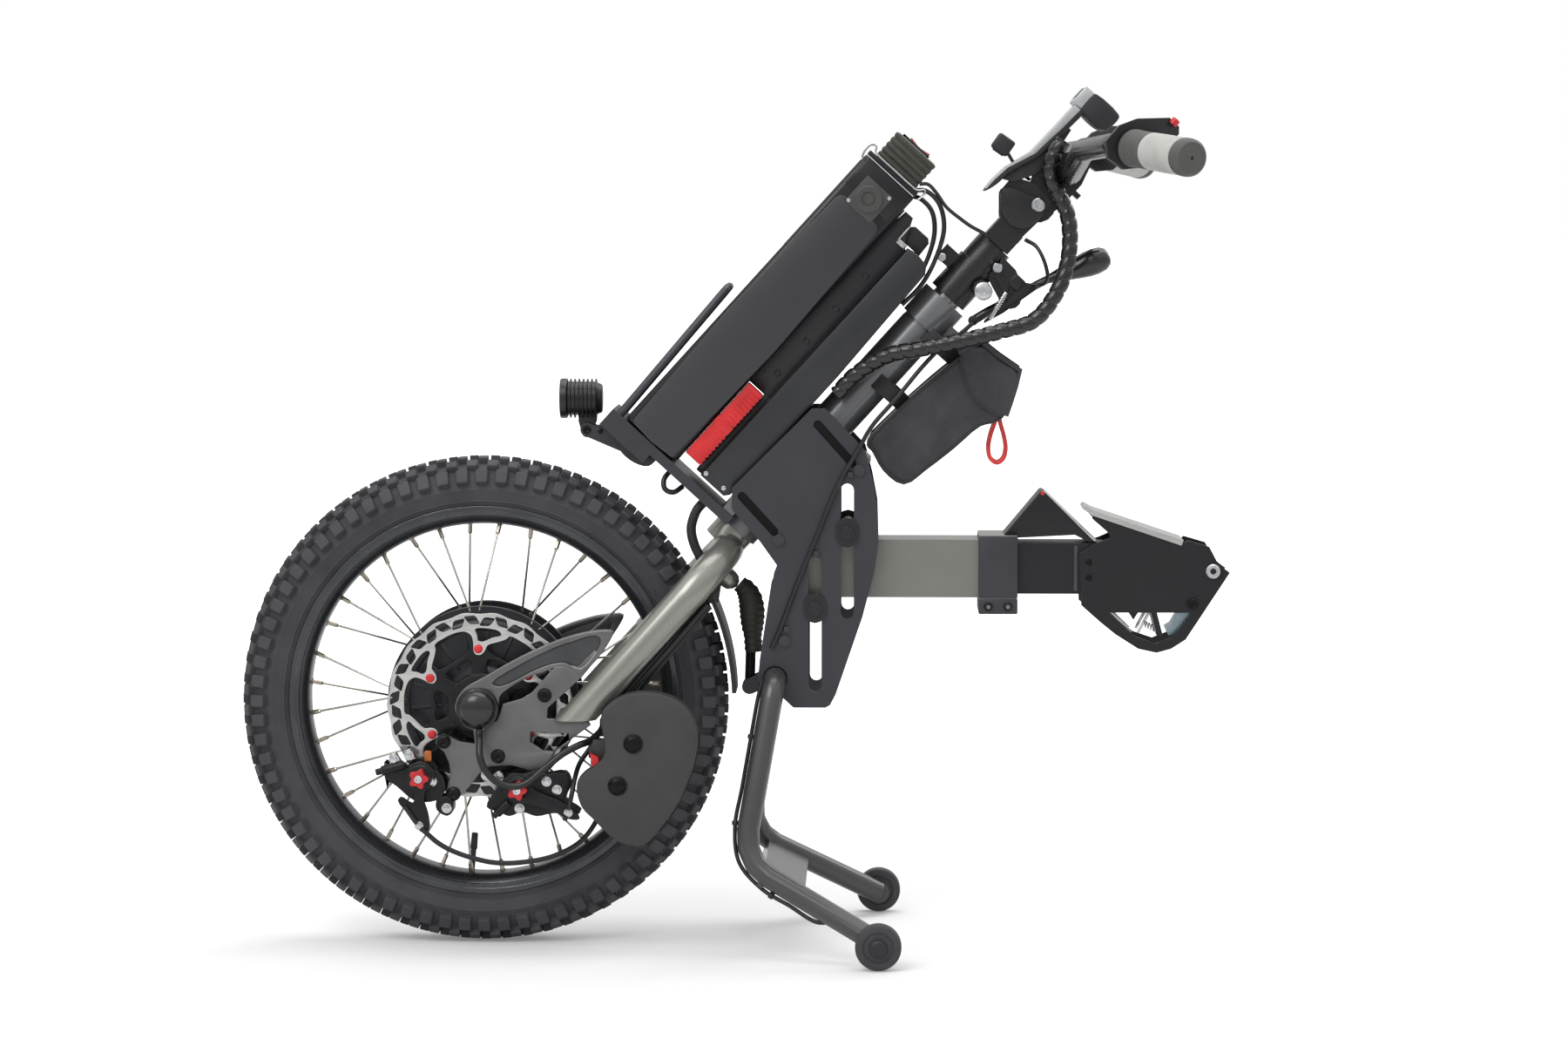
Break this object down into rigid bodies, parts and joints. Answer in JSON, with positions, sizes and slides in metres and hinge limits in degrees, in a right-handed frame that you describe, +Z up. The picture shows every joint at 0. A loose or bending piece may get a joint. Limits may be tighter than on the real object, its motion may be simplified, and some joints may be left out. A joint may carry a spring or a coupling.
{
  "type": "handcycle",
  "caption": "Power-assist front-wheel attachment for a wheelchair, with steering fork, handlebar, battery, folding stand and docking arm.",
  "frame": {"origin": "on the floor under the middle of the whole object, in its mid-plane", "axes": "+Z up, -X the way it drives, +Y towards its own right-hand side"},
  "size_m": [0.9597, 0.6918, 0.8321],
  "materials": {
    "tyre": "moulded rubber, matte",
    "rim_and_spokes": "satin black rim with bright spokes",
    "hub_motor": "satin black",
    "brake_rotor": "ground steel",
    "rotor_carrier": "black anodised",
    "fork": "metallic grey-green paint",
    "dropout_near": "machined",
    "dropout_far": "machined",
    "axle": "dark plated",
    "caliper_front": "cast grey",
    "caliper_rear": "cast grey",
    "caliper_arm_front": "cast grey",
    "caliper_arm_rear": "cast grey",
    "mudguard": "moulded",
    "ballast_near": "matte dark grey",
    "ballast_far": "matte dark grey",
    "motor_cable": "smooth sheath",
    "brake_cable_front": "smooth sheath",
    "brake_cable_rear": "smooth sheath",
    "fork_conduit": "braided sleeve",
    "stem_clamp": "black anodised",
    "brake_lever": "black",
    "mast": "black anodised",
    "tilt_head": "black anodised",
    "dash": "moulded",
    "display": "gloss face",
    "key_switch": "moulded",
    "handlebar": "gloss black",
    "switch_housing_near": "moulded",
    "switch_housing_far": "moulded",
    "throttle_button": "red",
    "throttle_grip": "ribbed rubber",
    "grip_near": "grey rubber",
    "grip_far": "grey rubber",
    "side_plate_near": "satin charcoal",
    "side_plate_far": "satin charcoal",
    "head_tube": "black anodised",
    "battery_tray": "satin charcoal",
    "battery_case": "black case with satin grey panels",
    "switch_box": "moulded",
    "rocker_switch": "red",
    "controller": "satin charcoal",
    "power_connector": "red",
    "lamp": "black with a clear lens",
    "tool_bag": "woven nylon",
    "harness": "spiral wrap",
    "stand_cable": "smooth sheath",
    "damper_boot": "dark boot",
    "damper_rod": "dark plated",
    "stand_legs": "dark grey powder coat",
    "foot_roller_near": "hard rubber",
    "foot_roller_far": "hard rubber",
    "arm_tube": "satin grey paint",
    "arm_bolt_upper": "black oxide",
    "arm_bolt_lower": "black oxide",
    "extension_tube": "black anodised",
    "dock_head": "black powder coat",
    "dock_ramp": "stainless sheet",
    "dock_wedge": "stainless sheet over a black block",
    "dock_hook": "zinc plated"
  },
  "bodies": {
    "frame": {"side_plate_near": "side_plate_near", "side_plate_far": "side_plate_far", "head_tube": "head_tube", "battery_tray": "battery_tray", "battery_case": "battery_case", "switch_box": "switch_box", "controller": "controller", "power_connector": "power_connector", "tool_bag": "tool_bag", "harness": "harness", "stand_cable": "stand_cable"},
    "steering": {"fork": "fork", "dropout_near": "dropout_near", "dropout_far": "dropout_far", "axle": "axle", "caliper_front": "caliper_front", "caliper_rear": "caliper_rear", "mudguard": "mudguard", "ballast_near": "ballast_near", "ballast_far": "ballast_far", "motor_cable": "motor_cable", "brake_cable_front": "brake_cable_front", "brake_cable_rear": "brake_cable_rear", "fork_conduit": "fork_conduit", "stem_clamp": "stem_clamp"},
    "wheel": {"tyre": "tyre", "rim_and_spokes": "rim_and_spokes", "hub_motor": "hub_motor", "brake_rotor": "brake_rotor", "rotor_carrier": "rotor_carrier"},
    "caliper_arm_front": {"caliper_arm_front": "caliper_arm_front"},
    "caliper_arm_rear": {"caliper_arm_rear": "caliper_arm_rear"},
    "brake_lever": {"brake_lever": "brake_lever"},
    "mast": {"mast": "mast"},
    "handlebar_head": {"tilt_head": "tilt_head", "dash": "dash", "display": "display", "key_switch": "key_switch", "handlebar": "handlebar", "switch_housing_near": "switch_housing_near", "switch_housing_far": "switch_housing_far", "grip_near": "grip_near", "grip_far": "grip_far"},
    "throttle_grip": {"throttle_grip": "throttle_grip"},
    "throttle_button": {"throttle_button": "throttle_button"},
    "rocker_switch": {"rocker_switch": "rocker_switch"},
    "lamp": {"lamp": "lamp"},
    "damper": {"damper_boot": "damper_boot", "damper_rod": "damper_rod"},
    "stand": {"stand_legs": "stand_legs"},
    "roller_near": {"foot_roller_near": "foot_roller_near"},
    "roller_far": {"foot_roller_far": "foot_roller_far"},
    "arm": {"arm_tube": "arm_tube", "arm_bolt_upper": "arm_bolt_upper", "arm_bolt_lower": "arm_bolt_lower"},
    "extension": {"extension_tube": "extension_tube", "dock_head": "dock_head", "dock_ramp": "dock_ramp", "dock_wedge": "dock_wedge"},
    "dock_hook": {"dock_hook": "dock_hook"}
  },
  "joints": [
    {"name": "steering", "type": "hinge", "parent": "frame", "child": "steering", "pos_m": [0.00194, 0, 0.40384], "axis": [0.673, 0, 0.7396], "range_deg": [-35, 35], "deforming": ["harness", "fork_conduit"]},
    {"name": "wheel_spin", "type": "hinge", "parent": "steering", "child": "wheel", "pos_m": [-0.24244, 0, 0.2375], "axis": [0, 1, 0], "continuous": true},
    {"name": "brake_lever_pull", "type": "hinge", "parent": "steering", "child": "brake_lever", "pos_m": [0.26815, 0, 0.62806], "axis": [0, 1, 0], "range_deg": [0, 8], "stiffness_Nm_per_rad": 1.5, "springref_deg": -11.46},
    {"name": "caliper_arm_front_pull", "type": "hinge", "parent": "steering", "child": "caliper_arm_front", "pos_m": [-0.29759, -0.09, 0.17177], "axis": [0, -1, 0], "range_deg": [0, 12], "stiffness_Nm_per_rad": 0.5, "springref_deg": -11.46},
    {"name": "caliper_arm_rear_pull", "type": "hinge", "parent": "steering", "child": "caliper_arm_rear", "pos_m": [-0.20349, -0.09, 0.16105], "axis": [0, -1, 0], "range_deg": [0, 12], "stiffness_Nm_per_rad": 0.5, "springref_deg": -11.46},
    {"name": "mast_height", "type": "slide", "parent": "steering", "child": "mast", "axis": [0.673, 0, 0.7396], "range_m": [0, 0.08], "deforming": ["harness"]},
    {"name": "head_tilt", "type": "hinge", "parent": "mast", "child": "handlebar_head", "pos_m": [0.29371, 0, 0.71796], "axis": [0, 1, 0], "range_deg": [-30, 20], "deforming": ["harness"]},
    {"name": "throttle_twist", "type": "hinge", "parent": "handlebar_head", "child": "throttle_grip", "pos_m": [0.37096, -0.25375, 0.77024], "axis": [0.45, -0.8879, -0.0952], "range_deg": [0, 60], "stiffness_Nm_per_rad": 0.3, "springref_deg": -17.19},
    {"name": "throttle_button_press", "type": "slide", "parent": "handlebar_head", "child": "throttle_button", "axis": [-0.673, 0, -0.7396], "range_m": [0, 0.002], "stiffness_N_per_m": 800, "springref_m": -0.002},
    {"name": "rocker_tip", "type": "hinge", "parent": "frame", "child": "rocker_switch", "pos_m": [0.17845, 0, 0.77164], "axis": [0, 1, 0], "range_deg": [-8, 8]},
    {"name": "lamp_aim", "type": "hinge", "parent": "frame", "child": "lamp", "pos_m": [-0.14229, 0, 0.5006], "axis": [0, 1, 0], "range_deg": [-20, 6]},
    {"name": "damper_swing", "type": "hinge", "parent": "frame", "child": "damper", "pos_m": [0.01554, 0, 0.25004], "axis": [-0.9893, 0, -0.1459], "range_deg": [-10.8, 10.8]},
    {"name": "stand_fold", "type": "hinge", "parent": "frame", "child": "stand", "pos_m": [0.04154, 0, 0.26284], "axis": [0, -1, 0], "range_deg": [0, 50]},
    {"name": "roller_near_spin", "type": "hinge", "parent": "stand", "child": "roller_near", "pos_m": [0.14154, -0.161, 0.022], "axis": [0, 1, 0], "continuous": true},
    {"name": "roller_far_spin", "type": "hinge", "parent": "stand", "child": "roller_far", "pos_m": [0.14154, 0.161, 0.022], "axis": [0, 1, 0], "continuous": true},
    {"name": "arm_height", "type": "slide", "parent": "frame", "child": "arm", "axis": [0, 0, 1], "range_m": [-0.074, 0.02]},
    {"name": "arm_reach", "type": "slide", "parent": "arm", "child": "extension", "axis": [1, 0, 0], "range_m": [0, 0.08]},
    {"name": "dock_hook_swing", "type": "hinge", "parent": "extension", "child": "dock_hook", "pos_m": [0.44499, 0, 0.33422], "axis": [0, 1, 0], "range_deg": [0, 14], "stiffness_Nm_per_rad": 0.6, "springref_deg": -17.19}
  ],
  "couplings": [
    {"joint": "caliper_arm_front_pull", "follows": "brake_lever_pull", "ratio": 1},
    {"joint": "caliper_arm_rear_pull", "follows": "brake_lever_pull", "ratio": 1},
    {"joint": "damper_swing", "follows": "steering", "ratio": 0.306}
  ]
}
